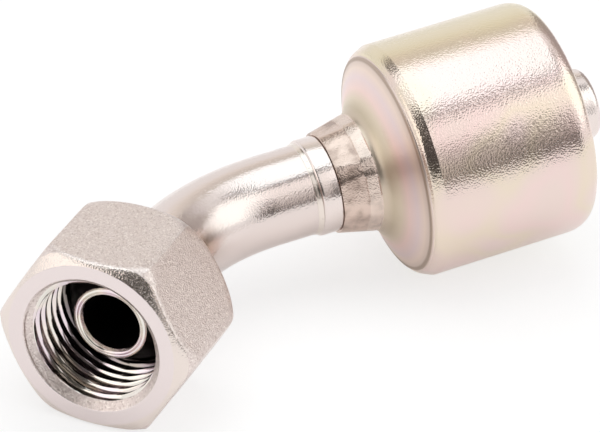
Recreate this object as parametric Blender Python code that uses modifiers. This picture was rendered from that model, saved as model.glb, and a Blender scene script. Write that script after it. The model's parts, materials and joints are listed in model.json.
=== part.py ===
# Crimp hose fitting with a 45 degree elbow: a swivel nut turns on the cone end of a bent tube, the tube
# is brazed into a barbed hose stem, and a crimp shell is staked to the stem by its die-crimped neck.
# Metres, +Z up. The hose leaves towards +X, and the fitting lies on a flat of its nut and on the
# shell's front edge, so the hose's axis climbs a little.

import math

import bpy
import numpy as np
from mathutils import Matrix, Vector

MM = 0.001

# Elbow tube, turned straight and then bent
TUBE_BORE_RADIUS = 4.3 * MM
TUBE_WALL = 2.6 * MM
BEND_RADIUS = 26.6 * MM
BEND_ANGLE = math.radians(45)
STEM_RUN = 6.3 * MM
SPIGOT_WALL = 0.8 * MM
SPIGOT_LENGTH = 5.0 * MM

# Cone nose of the tube, set back inside the nut, and the flange that keeps the nut on
NOSE_RECESS = 6.4 * MM
NOSE_LIP = 1.3 * MM
NOSE_ROUND = 0.45 * MM
MOUTH_CHAMFER = 0.6 * MM
CONE_HALF_ANGLE = math.radians(30)
FLANGE_THICKNESS = 1.7 * MM
FLANGE_CLEARANCE = 0.9 * MM

# Swivel nut, a turned and threaded hexagon
THREAD_BORE_RADIUS = 9.8 * MM
THREAD_ENTRY_DEPTH = 0.9 * MM
NUT_WALL = 3.7 * MM
NUT_FACE_INSET = 0.2 * MM
NUT_CHAMFER_ANGLE = math.radians(36)
NUT_LIP_LENGTH = 4.4 * MM
NUT_REAR_LENGTH = 5.4 * MM
NUT_REAR_DROP = 4.0 * MM
NUT_BACK_RUN = 8.0 * MM
RELIEF_DEPTH = 0.8 * MM
RELIEF_LENGTH = 1.9 * MM
NUT_RUNNING_CLEARANCE = 0.35 * MM
HEXAGON_MARGIN = 0.1 * MM

# Hose stem: collar, groove for the shell's neck, land, barbed tail
COLLAR_STEP = 0.5 * MM
COLLAR_LENGTH = 3.0 * MM
COLLAR_ROUND = 0.5 * MM
SOCKET_WALL = 0.9 * MM
GROOVE_LENGTH = 4.9 * MM
GROOVE_DEPTH = 0.6 * MM
LAND_RUNOUT = 1.0 * MM
STEM_BORE_RADIUS = 4.1 * MM
TAIL_WALL = 1.4 * MM
TAIL_OVERHANG = 6.5 * MM
BARB_PITCH = 4.4 * MM
BARB_HEIGHT = 0.75 * MM
BARB_RISE = 0.65 * MM
BARB_CREST = 0.9 * MM
TIP_RUN = 2.0 * MM
TIP_ROUND = 1.2 * MM

# Crimp shell: staked neck, domed face, plain cylinder with gripping teeth inside
HOSE_RADIUS = 13.2 * MM
SHELL_WALL = 3.8 * MM
SHELL_LENGTH = 26.4 * MM
SHELL_REAR_ROUND = 1.6 * MM
SHELL_SHOULDER_LENGTH = 1.6 * MM
SHELL_SHOULDER_DROP = 0.95 * MM
SHELL_MOUTH_CHAMFER = 0.6 * MM
FACE_SLOPE = math.radians(64)
CAVITY_INSET = 0.75 * MM
CAVITY_CORNER = 1.4 * MM
TOOTH_HEIGHT = 1.0 * MM
TOOTH_PITCH = 4.4 * MM
TOOTH_OFFSET = 2.4 * MM
TOOTH_RISE = 0.3 * MM
TOOTH_CREST = 1.1 * MM
TOOTH_FALL = 0.8 * MM

# The shell's neck, pressed on the stem by eight dies
NECK_WALL = 1.0 * MM
NECK_LENGTH = 6.4 * MM
NECK_FLARE = 1.15 * MM
NECK_FILLET = 2.6 * MM
DIE_COUNT = 8
DIE_ANGLE = math.radians(15)
DIE_BITE = 0.45 * MM
DIE_STEP = 0.22 * MM
DIE_STEP_AT = 3.5 * MM
DIE_STOP = 1.0 * MM
DIE_OVERRUN = 1.0 * MM
DIE_THICKNESS = 4.0 * MM

# Gap between pieces that touch on the real fitting
JOINT_GAP = 0.3 * MM

# Facets round each turned piece, along the bend and along a rounded edge
SHELL_STEPS = 48
NUT_STEPS = 48
PIPE_STEPS = 32
BEND_STEPS = 10
ROUND_STEPS = 4

# Worked-out radii
TUBE_RADIUS = TUBE_BORE_RADIUS + TUBE_WALL
SPIGOT_RADIUS = TUBE_BORE_RADIUS + SPIGOT_WALL
SOCKET_RADIUS = SPIGOT_RADIUS + JOINT_GAP
GROOVE_RADIUS = SOCKET_RADIUS + SOCKET_WALL
LAND_RADIUS = GROOVE_RADIUS + GROOVE_DEPTH
COLLAR_RADIUS = TUBE_RADIUS + COLLAR_STEP
TAIL_RADIUS = STEM_BORE_RADIUS + TAIL_WALL
NOSE_TIP_RADIUS = TUBE_BORE_RADIUS + NOSE_LIP
FLANGE_RADIUS = THREAD_BORE_RADIUS - FLANGE_CLEARANCE
NUT_FLAT_RADIUS = THREAD_BORE_RADIUS + NUT_WALL
NUT_CORNER_RADIUS = NUT_FLAT_RADIUS / math.cos(math.pi / 6)
TOOTH_ROOT_RADIUS = HOSE_RADIUS + TOOTH_HEIGHT
SHELL_RADIUS = TOOTH_ROOT_RADIUS + SHELL_WALL
RIDGE_RADIUS = SHELL_RADIUS - SHELL_SHOULDER_DROP
NECK_BORE_RADIUS = GROOVE_RADIUS + JOINT_GAP
LAND_BORE_RADIUS = LAND_RADIUS + JOINT_GAP
NECK_LIP_RADIUS = NECK_BORE_RADIUS + NECK_WALL
NECK_ROOT_RADIUS = NECK_LIP_RADIUS + NECK_FLARE
FACE_START_RADIUS = NECK_ROOT_RADIUS + NECK_FILLET

# Worked-out places along the hose axis, from the start of the bend
COLLAR_END = STEM_RUN + COLLAR_LENGTH
NECK_START = COLLAR_END + JOINT_GAP
NECK_END = NECK_START + NECK_LENGTH
RIDGE_X = NECK_END + (RIDGE_RADIUS - NECK_ROOT_RADIUS) / math.tan(FACE_SLOPE)
CAVITY_START = RIDGE_X + CAVITY_INSET
SHELL_END = RIDGE_X + SHELL_LENGTH
TAIL_END = SHELL_END + TAIL_OVERHANG

# Worked-out places along the nut axis, from the nut's open face
CONE_BACK = NOSE_RECESS + (FLANGE_RADIUS - NOSE_TIP_RADIUS) / math.tan(CONE_HALF_ANGLE)
FLANGE_BACK = CONE_BACK + FLANGE_THICKNESS
NUT_SEAT = FLANGE_BACK + JOINT_GAP
NUT_LENGTH = NUT_SEAT + NUT_LIP_LENGTH
BEND_TRAVEL = BEND_RADIUS * BEND_ANGLE
FACE_TRAVEL = BEND_TRAVEL + NUT_BACK_RUN + NUT_LENGTH

# The nut's axis, from its open face inwards, and where it would meet the hose's axis
NUT_AXIS = Vector((math.cos(BEND_ANGLE), math.sin(BEND_ANGLE), 0.0))
AXES_MEET = Vector((-BEND_RADIUS * math.tan(BEND_ANGLE / 2), 0.0, 0.0))


def clear_scene():
    """Remove every object, so the script starts from an empty scene."""
    for old in list(bpy.data.objects):
        bpy.data.objects.remove(old, do_unlink=True)


def new_collection(name):
    """Add a collection under the scene and return it."""
    made = bpy.data.collections.new(name)
    bpy.context.scene.collection.children.link(made)
    return made


def metal(name, colour, roughness, metallic=1.0):
    """A Principled material with one colour, roughness and metallic value."""
    made = bpy.data.materials.new(name)
    made.use_nodes = True
    shader = made.node_tree.nodes["Principled BSDF"]
    shader.inputs["Base Color"].default_value = (*colour, 1.0)
    shader.inputs["Roughness"].default_value = roughness
    shader.inputs["Metallic"].default_value = metallic
    return made


def arc(centre, radii, start, end, steps):
    """Points of an elliptic arc in the (along, radius) half plane."""
    angles = [start + (end - start) * i / steps for i in range(steps + 1)]
    return [(centre[0] + radii[0] * math.cos(a), centre[1] + radii[1] * math.sin(a)) for a in angles]


def blend(start, corner, end, steps):
    """Points of a smooth curve that leaves start and reaches end along the lines to corner."""
    points = []
    for i in range(steps + 1):
        t = i / steps
        weights = ((1 - t) ** 2, 2 * t * (1 - t), t ** 2)
        along = weights[0] * start[0] + weights[1] * corner[0] + weights[2] * end[0]
        radius = weights[0] * start[1] + weights[1] * corner[1] + weights[2] * end[1]
        points.append((along, radius))
    return points


def outside_runs_backward(profile):
    """True when the closed profile runs from high to low along its outer side."""
    area = 0.0
    for (x0, r0), (x1, r1) in zip(profile, profile[1:] + profile[:1]):
        area += x0 * r1 - x1 * r0
    return area > 0


def turned(name, profile, steps, collection, start_angle=0.0):
    """A closed (along, radius) profile turned about the X axis with a Screw modifier."""
    if not outside_runs_backward(profile):
        profile = profile[::-1]
    mesh = bpy.data.meshes.new(name)
    cosine = math.cos(start_angle)
    sine = math.sin(start_angle)
    corners = [(along, radius * cosine, radius * sine) for along, radius in profile]
    edges = [(i, (i + 1) % len(corners)) for i in range(len(corners))]
    mesh.from_pydata(corners, edges, [])
    piece = bpy.data.objects.new(name, mesh)
    collection.objects.link(piece)
    screw = piece.modifiers.new("turn", "SCREW")
    screw.axis = "X"
    screw.angle = math.tau
    screw.steps = steps
    screw.render_steps = steps
    screw.use_merge_vertices = True
    screw.merge_threshold = 0.00001
    return piece


def freeze(piece):
    """Replace the object's modifiers with the mesh that they make."""
    bpy.context.view_layer.update()
    shape = piece.evaluated_get(bpy.context.evaluated_depsgraph_get())
    mesh = bpy.data.meshes.new_from_object(shape)
    piece.modifiers.clear()
    piece.data = mesh


def cut(piece, cutter, operation):
    """Add an exact Boolean of the piece with the cutter."""
    modifier = piece.modifiers.new(cutter.name, "BOOLEAN")
    modifier.operation = operation
    modifier.solver = "EXACT"
    modifier.object = cutter


def make_guide(piece):
    """Show a cutter as wire only, and keep it out of renders."""
    piece.hide_render = True
    piece.display_type = "WIRE"


def finish(piece, material, sharp_angle):
    """Give the piece its material and smooth shading up to an angle."""
    piece.data.materials.clear()
    piece.data.materials.append(material)
    piece.data.shade_smooth()
    piece.data.set_sharp_from_angle(angle=math.radians(sharp_angle))


# Elbow tube
def bent(point):
    """Where a point of the straight blank lies after bending; the blank's nose points to -X."""
    travel = -point.x
    if travel <= 0:
        return point.copy()
    angle = min(travel / BEND_RADIUS, BEND_ANGLE)
    beyond = max(travel - BEND_RADIUS * BEND_ANGLE, 0.0)
    heading = Vector((-math.cos(angle), -math.sin(angle), 0.0))
    outward = Vector((-math.sin(angle), math.cos(angle), 0.0))
    centre = Vector((0.0, -BEND_RADIUS, 0.0)) + BEND_RADIUS * outward
    return centre + beyond * heading + point.y * outward + Vector((0.0, 0.0, point.z))


def elbow_tube(collection, material):
    """Turn the straight blank with its cone nose and spigot, then bend it."""
    tip = NOSE_RECESS - FACE_TRAVEL
    cone_end = CONE_BACK - FACE_TRAVEL
    flange_end = FLANGE_BACK - FACE_TRAVEL
    bend_stations = [-BEND_TRAVEL * i / BEND_STEPS for i in range(BEND_STEPS + 1)]
    shoulder = STEM_RUN - JOINT_GAP
    spigot_end = STEM_RUN + SPIGOT_LENGTH - JOINT_GAP
    cone_rise = NOSE_ROUND * math.tan(CONE_HALF_ANGLE)
    outer = blend((tip, NOSE_TIP_RADIUS - NOSE_ROUND), (tip, NOSE_TIP_RADIUS),
                  (tip + NOSE_ROUND, NOSE_TIP_RADIUS + cone_rise), ROUND_STEPS)
    outer += [(cone_end, FLANGE_RADIUS), (flange_end, FLANGE_RADIUS), (flange_end, TUBE_RADIUS)]
    outer += [(along, TUBE_RADIUS) for along in reversed(bend_stations)]
    outer += [(shoulder, TUBE_RADIUS), (shoulder, SPIGOT_RADIUS), (spigot_end, SPIGOT_RADIUS)]
    inner = [(spigot_end, TUBE_BORE_RADIUS)]
    inner += [(along, TUBE_BORE_RADIUS) for along in bend_stations]
    inner += [(tip + MOUTH_CHAMFER, TUBE_BORE_RADIUS), (tip, TUBE_BORE_RADIUS + MOUTH_CHAMFER)]
    tube = turned("elbow_tube", outer + inner, PIPE_STEPS, collection)
    freeze(tube)
    for vertex in tube.data.vertices:
        vertex.co = bent(vertex.co)
    finish(tube, material, 30)
    return tube


# Swivel nut
def swivel_nut(collection, cutters, material, spin):
    """Turn the nut's rounded blank with its bore, then leave only what lies inside the hexagon."""
    blank_radius = NUT_CORNER_RADIUS + HEXAGON_MARGIN
    face_radius = NUT_FLAT_RADIUS - NUT_FACE_INSET
    relief_radius = THREAD_BORE_RADIUS + RELIEF_DEPTH
    relief_start = NUT_SEAT - RELIEF_LENGTH
    lip_radius = TUBE_RADIUS + NUT_RUNNING_CLEARANCE
    chamfer_end = (blank_radius - face_radius) * math.tan(NUT_CHAMFER_ANGLE)
    rear = arc((NUT_LENGTH - NUT_REAR_LENGTH, blank_radius - NUT_REAR_DROP),
               (NUT_REAR_LENGTH, NUT_REAR_DROP), math.pi / 2, 0.0, ROUND_STEPS + 1)
    outer = [(0.0, face_radius), (chamfer_end, blank_radius)] + rear
    inner = [(NUT_LENGTH, lip_radius), (NUT_SEAT, lip_radius), (NUT_SEAT, relief_radius)]
    inner += [(relief_start, relief_radius), (relief_start, THREAD_BORE_RADIUS)]
    inner += [(THREAD_ENTRY_DEPTH, THREAD_BORE_RADIUS), (0.0, THREAD_BORE_RADIUS + THREAD_ENTRY_DEPTH)]
    nut = turned("swivel_nut", outer + inner, NUT_STEPS, collection)

    bpy.ops.mesh.primitive_cylinder_add(vertices=6, radius=NUT_CORNER_RADIUS, depth=3 * NUT_LENGTH)
    hexagon = bpy.context.object
    hexagon.name = "nut_hexagon"
    hexagon.data.transform(Matrix.Rotation(math.pi / 2, 4, "Y"))
    hexagon.data.transform(Matrix.Rotation(spin, 4, "X"))
    for owner in list(hexagon.users_collection):
        owner.objects.unlink(hexagon)
    cutters.objects.link(hexagon)
    make_guide(hexagon)
    cut(nut, hexagon, "INTERSECT")

    face_centre = bent(Vector((-FACE_TRAVEL, 0.0, 0.0)))
    nut.matrix_world = Matrix.Translation(face_centre) @ Matrix.Rotation(BEND_ANGLE, 4, "Z")
    hexagon.matrix_world = nut.matrix_world
    finish(nut, material, 20)
    return nut, hexagon


# Hose stem
def barb_points(land_end):
    """Saw-tooth barbs along the tail, each steep at the fitting's side and falling towards the tip."""
    last = TAIL_END - TIP_ROUND - TIP_RUN
    count = int((last - land_end) / BARB_PITCH)
    points = []
    for i in range(count):
        back = last - (count - i) * BARB_PITCH
        points.append((back, TAIL_RADIUS))
        points.append((back + BARB_RISE, TAIL_RADIUS + BARB_HEIGHT))
        points.append((back + BARB_RISE + BARB_CREST, TAIL_RADIUS + BARB_HEIGHT))
    return points


def hose_stem(collection, material):
    """Turn the stem: brazing socket in the collar, groove, land and barbed tail with a bore through."""
    groove_end = COLLAR_END + GROOVE_LENGTH
    socket_end = STEM_RUN + SPIGOT_LENGTH
    land_end = CAVITY_START + LAND_RUNOUT
    collar_edge = arc((STEM_RUN + COLLAR_ROUND, COLLAR_RADIUS - COLLAR_ROUND),
                      (COLLAR_ROUND, COLLAR_ROUND), math.pi, math.pi / 2, ROUND_STEPS)
    tip = arc((TAIL_END - TIP_ROUND, TAIL_RADIUS - TIP_ROUND),
              (TIP_ROUND, TIP_ROUND), math.pi / 2, 0.0, ROUND_STEPS)
    outer = collar_edge + [(COLLAR_END, COLLAR_RADIUS), (COLLAR_END, GROOVE_RADIUS)]
    outer += [(groove_end, GROOVE_RADIUS), (groove_end + GROOVE_DEPTH, LAND_RADIUS)]
    outer += [(CAVITY_START, LAND_RADIUS), (land_end, TAIL_RADIUS)]
    outer += barb_points(land_end) + tip
    inner = [(TAIL_END, STEM_BORE_RADIUS), (socket_end, STEM_BORE_RADIUS)]
    inner += [(socket_end, SOCKET_RADIUS), (STEM_RUN, SOCKET_RADIUS)]
    stem = turned("hose_stem", outer + inner, PIPE_STEPS, collection)
    finish(stem, material, 30)
    return stem


# Crimp shell
def tooth_points():
    """Square-backed gripping teeth inside the shell, spaced evenly from its blind end."""
    first = CAVITY_START + TOOTH_OFFSET
    count = int((SHELL_END - SHELL_MOUTH_CHAMFER - first) / TOOTH_PITCH)
    points = []
    for i in range(count):
        tooth = first + i * TOOTH_PITCH
        crest_end = tooth + TOOTH_RISE + TOOTH_CREST
        points.append((tooth, TOOTH_ROOT_RADIUS))
        points.append((tooth + TOOTH_RISE, HOSE_RADIUS))
        points.append((crest_end, HOSE_RADIUS))
        points.append((crest_end + TOOTH_FALL, TOOTH_ROOT_RADIUS))
    return points


def crimping_dies(collection):
    """A ring with one flat for each die; the flats widen towards the face, with a step on the way."""
    corner_growth = 1 / math.cos(math.pi / DIE_COUNT)
    slope = NECK_FLARE / NECK_LENGTH
    before = NECK_START - DIE_OVERRUN
    step = NECK_START + DIE_STEP_AT
    after = NECK_END - DIE_STOP
    outside = NECK_ROOT_RADIUS + DIE_THICKNESS
    flats = [(before, NECK_LIP_RADIUS - DIE_OVERRUN * slope)]
    flats += [(step, NECK_LIP_RADIUS + DIE_STEP_AT * slope)]
    flats += [(step, NECK_LIP_RADIUS + DIE_STEP_AT * slope + DIE_STEP)]
    flats += [(after, NECK_LIP_RADIUS + (after - NECK_START) * slope + DIE_STEP)]
    profile = [(along, radius * corner_growth) for along, radius in flats]
    profile += [(after, outside), (before, outside)]
    ring = turned("crimping_dies", profile, DIE_COUNT, collection, DIE_ANGLE)
    make_guide(ring)
    return ring


def crimp_shell(collection, cutters, material):
    """Turn the shell and press the dies' flats into its neck, which leaves a ridge between each two."""
    corner_growth = 1 / math.cos(math.pi / DIE_COUNT)
    ridge_at_lip = NECK_LIP_RADIUS * corner_growth - DIE_BITE
    ridge_at_root = NECK_ROOT_RADIUS * corner_growth - DIE_BITE
    face_start = NECK_END + NECK_FILLET / math.tan(FACE_SLOPE)
    fillet = blend((NECK_END - NECK_FILLET / 2, ridge_at_root), (NECK_END, ridge_at_root),
                   (face_start, FACE_START_RADIUS), ROUND_STEPS)
    shoulder = arc((RIDGE_X + SHELL_SHOULDER_LENGTH, RIDGE_RADIUS),
                   (SHELL_SHOULDER_LENGTH, SHELL_SHOULDER_DROP), math.pi, math.pi / 2, ROUND_STEPS)
    rear = arc((SHELL_END - SHELL_REAR_ROUND, SHELL_RADIUS - SHELL_REAR_ROUND),
               (SHELL_REAR_ROUND, SHELL_REAR_ROUND), math.pi / 2, 0.0, ROUND_STEPS)
    outer = [(NECK_START, ridge_at_lip)] + fillet + shoulder + rear

    groove_end = COLLAR_END + GROOVE_LENGTH - JOINT_GAP
    inner = [(SHELL_END, TOOTH_ROOT_RADIUS + SHELL_MOUTH_CHAMFER)]
    inner += [(SHELL_END - SHELL_MOUTH_CHAMFER, TOOTH_ROOT_RADIUS)]
    inner += tooth_points()[::-1]
    inner += [(CAVITY_START + CAVITY_CORNER, TOOTH_ROOT_RADIUS)]
    inner += [(CAVITY_START, TOOTH_ROOT_RADIUS - CAVITY_CORNER), (CAVITY_START, LAND_BORE_RADIUS)]
    inner += [(groove_end + GROOVE_DEPTH, LAND_BORE_RADIUS), (groove_end, NECK_BORE_RADIUS)]
    inner += [(NECK_START, NECK_BORE_RADIUS)]
    shell = turned("crimp_shell", outer + inner, SHELL_STEPS, collection)
    die_ring = crimping_dies(cutters)
    cut(shell, die_ring, "DIFFERENCE")
    finish(shell, material, 24)
    return shell, die_ring


# The fitting as it lies
def world_points(piece):
    """All corners of a piece's finished mesh, in the fitting's own frame."""
    bpy.context.view_layer.update()
    shape = piece.evaluated_get(bpy.context.evaluated_depsgraph_get())
    mesh = shape.to_mesh()
    points = np.array([piece.matrix_world @ vertex.co for vertex in mesh.vertices])
    shape.to_mesh_clear()
    return points


def lying(roll):
    """Turn the fitting back about its nut's axis, and head the hose's axis over +X."""
    about_nut = Matrix.Translation(AXES_MEET) @ Matrix.Rotation(-roll, 4, NUT_AXIS)
    about_nut = about_nut @ Matrix.Translation(-AXES_MEET)
    hose = about_nut.to_3x3() @ Vector((1.0, 0.0, 0.0))
    return Matrix.Rotation(-math.atan2(hose.y, hose.x), 4, "Z") @ about_nut


def placed(points, matrix):
    """The points moved by a 4 by 4 matrix."""
    return points @ np.array(matrix.to_3x3()).T + np.array(matrix.translation)


def resting_roll(shell):
    """Roll about the nut's axis at which the shell touches the floor that a flat of the nut lies on."""
    points = world_points(shell)
    low, high = math.radians(-30), math.radians(60)
    for _ in range(40):
        roll = (low + high) / 2
        if placed(points, lying(roll))[:, 2].min() < -NUT_FLAT_RADIUS:
            low = roll
        else:
            high = roll
    return (low + high) / 2


def main():
    clear_scene()
    parts = new_collection("crimp_hose_fitting")
    cutters = new_collection("cutters")
    blasted_steel = metal("blasted_steel", (0.62, 0.58, 0.55), 0.55)
    bright_steel = metal("bright_steel", (0.72, 0.70, 0.67), 0.28)
    turned_steel = metal("turned_steel", (0.70, 0.67, 0.62), 0.33)
    zinc_plate = metal("zinc_plate", (0.76, 0.72, 0.60), 0.26)

    tube = elbow_tube(parts, bright_steel)
    stem = hose_stem(parts, turned_steel)
    shell, die_ring = crimp_shell(parts, cutters, zinc_plate)
    roll = resting_roll(shell)
    nut, hexagon = swivel_nut(parts, cutters, blasted_steel, roll)
    pieces = [tube, nut, stem, shell]

    rest = lying(roll)
    points = np.vstack([placed(world_points(piece), rest) for piece in pieces])
    low = points.min(axis=0)
    high = points.max(axis=0)
    lie = bpy.data.objects.new("fitting_frame", None)
    parts.objects.link(lie)
    lie.empty_display_size = SHELL_RADIUS
    lie.matrix_world = Matrix.Translation((-(low[0] + high[0]) / 2, -(low[1] + high[1]) / 2, -low[2])) @ rest
    for piece in pieces + [hexagon, die_ring]:
        piece.parent = lie
    bpy.context.view_layer.update()


main()
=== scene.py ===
# Looks of the crimp hose fitting: a blasted swivel nut, a bent plated tube, a turned stem and a crimped
# shell with a faint yellow and pink passivate, lying on a white table under softboxes.
# Lengths are in millimetres until a mesh is finished, and then in metres.

import json
import math

import bpy
from mathutils import Matrix, Vector


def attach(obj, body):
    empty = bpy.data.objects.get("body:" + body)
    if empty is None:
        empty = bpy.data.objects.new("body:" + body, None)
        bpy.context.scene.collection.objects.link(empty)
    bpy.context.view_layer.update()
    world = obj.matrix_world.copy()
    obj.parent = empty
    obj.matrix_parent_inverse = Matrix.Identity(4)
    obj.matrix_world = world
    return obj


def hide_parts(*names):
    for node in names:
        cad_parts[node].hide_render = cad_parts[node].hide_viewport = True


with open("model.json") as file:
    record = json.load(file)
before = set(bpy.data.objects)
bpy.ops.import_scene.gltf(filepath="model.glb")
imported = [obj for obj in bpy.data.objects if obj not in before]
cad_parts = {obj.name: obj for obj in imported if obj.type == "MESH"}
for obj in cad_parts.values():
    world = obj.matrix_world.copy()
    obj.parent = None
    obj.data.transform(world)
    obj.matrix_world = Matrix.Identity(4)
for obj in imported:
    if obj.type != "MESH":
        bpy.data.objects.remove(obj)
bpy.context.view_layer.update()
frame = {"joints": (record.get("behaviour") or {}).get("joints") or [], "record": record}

MM = 0.001

# Elbow tube
TUBE_BORE = 4.3
TUBE = 6.9
BEND_RADIUS = 26.6
BEND_ANGLE = math.radians(45)
STEM_RUN = 6.3
BRAZE_GAP = 0.3
SPIGOT = 5.1
SPIGOT_LENGTH = 5.0
NOSE_TIP = 5.6
NOSE_ROUND = 0.45
NOSE_RECESS = 6.4
NOSE_BRIGHT = 0.8
MOUTH_CHAMFER = 0.6
FLANGE = 8.9
CONE_BACK = 12.116
FLANGE_BACK = 13.816
TUBE_STEPS = 128

# Turned rings on the nose's end: (behind the tip, outside the bore, round)
NOSE_RINGS = [(0.1, 0.35, 0.1), (0.0, 0.5, 0.1), (0.0, 0.62, 0.08), (0.22, 0.72, 0.03), (0.0, 0.84, 0.08)]

# Swivel nut, with a 14 threads per inch pipe thread
HEX_FLAT = 13.5
HEX_CORNER = HEX_FLAT / math.cos(math.pi / 6)
HEX_SOFTNESS = 1.1
BLANK = HEX_CORNER + 0.1
NUT_FACE = 12.8
NUT_CHAMFER = math.radians(34)
NUT_CORNER_BREAK = 14.6
NUT_CORNER_RUN = 1.5
NUT_LENGTH = 18.516
NUT_SEAT = 14.116
NUT_LIP = 7.25
NUT_REAR_LENGTH = 5.4
NUT_REAR_DROP = 4.0
THREAD_CREST = 9.316
THREAD_DEPTH = 1.162
THREAD_PITCH = 1.814
THREAD_START = 0.16
THREAD_END = 12.216
THREAD_LEAD = 0.7
RINGS_PER_PITCH = 12

# Where the thread's flank starts and ends, in pitches from the middle of its crest
FLANK = (0.06, 0.44)
ENTRY_RADIUS = 10.7
ENTRY_SLOPE = 1.35
RELIEF = 10.6
NUT_BACK_RUN = 8.0
JOINT_DEPTH = 9.0
NUT_STEPS = 432

# Hose stem
COLLAR = 7.4
COLLAR_END = 9.3
SOCKET = 5.4
GROOVE = 6.3
GROOVE_RUN = 4.9
GROOVE_RAMP = 0.6
LAND = 6.9
LAND_RAMP = 1.0
TAIL = 5.5
TAIL_END = 52.948
TIP_ROUND = 1.2
STEM_BORE = 4.1
BARB_PITCH = 4.4
BARB_HEIGHT = 0.75
BARB_RAMP = 0.65
BARB_CREST = 0.9
BARB_CLEAR = 2.0
STEM_STEPS = 160

# Bead of braze on the collar's end: (behind the end, outside the tube, round)
BEAD = [(-0.9, -0.25, 0.0), (-0.75, 0.06, 0.1), (-0.2, 0.12, 0.1), (0.05, 0.2, 0.05), (-0.02, -0.25, 0.0)]

# Crimp shell
NECK_START = 9.6
NECK_OVERHANG = 0.24
NECK_END = 16.0
NECK_LIP = 7.6
NECK_ROOT = 8.75
NECK_BORE = 6.6
LAND_BORE = 7.2
DIES = 8
DIE_TURN = math.radians(15)
DIE_BITE = 0.45
DIE_STEP = 0.22
DIE_SOFTNESS = 0.12
NECK_STEP = NECK_START + 3.5
PRESSED_END = NECK_END - 1.0
STAKE_END = COLLAR_END + 4.6
FILLET_RUN = 1.3
FACE_SLOPE = math.radians(64)
FACE_START = 11.35
RIDGE_X = 19.75
RIDGE = 16.72
SHOULDER_END = 21.65
SHOULDER_SLOPE = math.radians(24)
SHOULDER_RUN = 1.6
SHELL = 18.0
SHELL_END = 46.448
SHELL_STEPS = 304
REAR_ROUND_RUN = 2.9
REAR_ROUND_DROP = 1.65
CAVITY = 20.798
CAVITY_BEVEL = 1.4
MOUTH_BREAK = 0.6
TOOTH_ROOT = 14.2
TOOTH_START = 2.4
TOOTH_PITCH = 4.4
HOSE = 13.2

# One gripping tooth from its rear foot: (behind its front foot, radius, round)
TOOTH = [(2.2, TOOTH_ROOT, 0.2), (1.4, HOSE, 0.15), (0.3, HOSE, 0.1), (0.0, TOOTH_ROOT, 0.1)]

# Front edge of the thin ridge: (before the ridge, inside it, round)
RIDGE_FRONT = [(0.42, 0.62, 0.15), (0.3, 0.1, 0.12)]

BEND_TRAVEL = BEND_RADIUS * BEND_ANGLE
FACE_TRAVEL = BEND_TRAVEL + NUT_BACK_RUN + NUT_LENGTH
TANGENT = BEND_RADIUS * math.tan(BEND_ANGLE / 2)

# A face nearer than this to an end or a radius counts as lying on it
NEAR = 0.05


# Where the pieces lie
def fitting_frame():
    """The fitting's own frame: x along the hose's axis from the start of the bend, z square to the bend."""
    mounts = {mount["name"]: mount for mount in frame["record"]["mounts"]}
    joint = frame["joints"][0]
    hose = Vector(mounts["shell_rear_face"]["axis"]).normalized()
    inward = Vector(joint["axis"]).normalized()
    upward = hose.cross(inward).normalized()
    across = upward.cross(hose)
    to_corner = NUT_LENGTH + NUT_BACK_RUN + TANGENT - JOINT_DEPTH
    start = Vector(joint["pos_m"]) + (inward * to_corner + hose * TANGENT) * MM
    turn = Matrix((hose, across, upward)).transposed().to_4x4()
    return Matrix.Translation(start) @ turn


def nut_frame():
    """The nut's frame: x along its axis from the open face inwards, z up, square to the flat it lies on."""
    joint = frame["joints"][0]
    inward = Vector(joint["axis"]).normalized()
    upward = Vector((0.0, 0.0, 1.0))
    across = upward.cross(inward).normalized()
    face = Vector(joint["pos_m"]) - inward * JOINT_DEPTH * MM
    turn = Matrix((inward, across, upward)).transposed().to_4x4()
    return Matrix.Translation(face) @ turn


# Profiles in the (along, radius) half plane
def rounded(corners, steps=4):
    """A closed profile whose corners (along, radius, round) are softened by their third value."""
    points = []
    count = len(corners)
    for i, (along, radius, soft) in enumerate(corners):
        if soft <= 0:
            points.append((along, radius))
            continue
        here = Vector((along, radius))
        before = Vector(corners[i - 1][:2]) - here
        after = Vector(corners[(i + 1) % count][:2]) - here
        reach_in = min(soft, before.length * 0.49)
        reach_out = min(soft, after.length * 0.49)
        start = here + before.normalized() * reach_in
        end = here + after.normalized() * reach_out
        for k in range(steps + 1):
            t = k / steps
            point = start * (1 - t) ** 2 + here * 2 * t * (1 - t) + end * t ** 2
            points.append((point.x, point.y))
    return points


def falling_quarter(centre, radii, steps):
    """Corners of a quarter of an ellipse, from its highest point to its rear end."""
    angles = [math.pi / 2 * (1 - i / steps) for i in range(steps + 1)]
    return [(centre[0] + radii[0] * math.cos(a), centre[1] + radii[1] * math.sin(a), 0.0) for a in angles]


def filled(points, longest, low, high):
    """Split the profile's edges between low and high along the axis, so none is longer than longest."""
    finer = []
    for (x0, r0), (x1, r1) in zip(points, points[1:] + points[:1]):
        finer.append((x0, r0))
        if max(x0, x1) < low or min(x0, x1) > high:
            continue
        parts = int(math.hypot(x1 - x0, r1 - r0) / longest) + 1
        for k in range(1, parts):
            finer.append((x0 + (x1 - x0) * k / parts, r0 + (r1 - r0) * k / parts))
    return finer


# Blender helpers
def linear(code):
    """An sRGB hex colour as linear RGBA."""
    channels = [int(code[i:i + 2], 16) / 255 for i in (0, 2, 4)]
    return tuple(c / 12.92 if c <= 0.04045 else ((c + 0.055) / 1.055) ** 2.4 for c in channels) + (1.0,)


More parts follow.
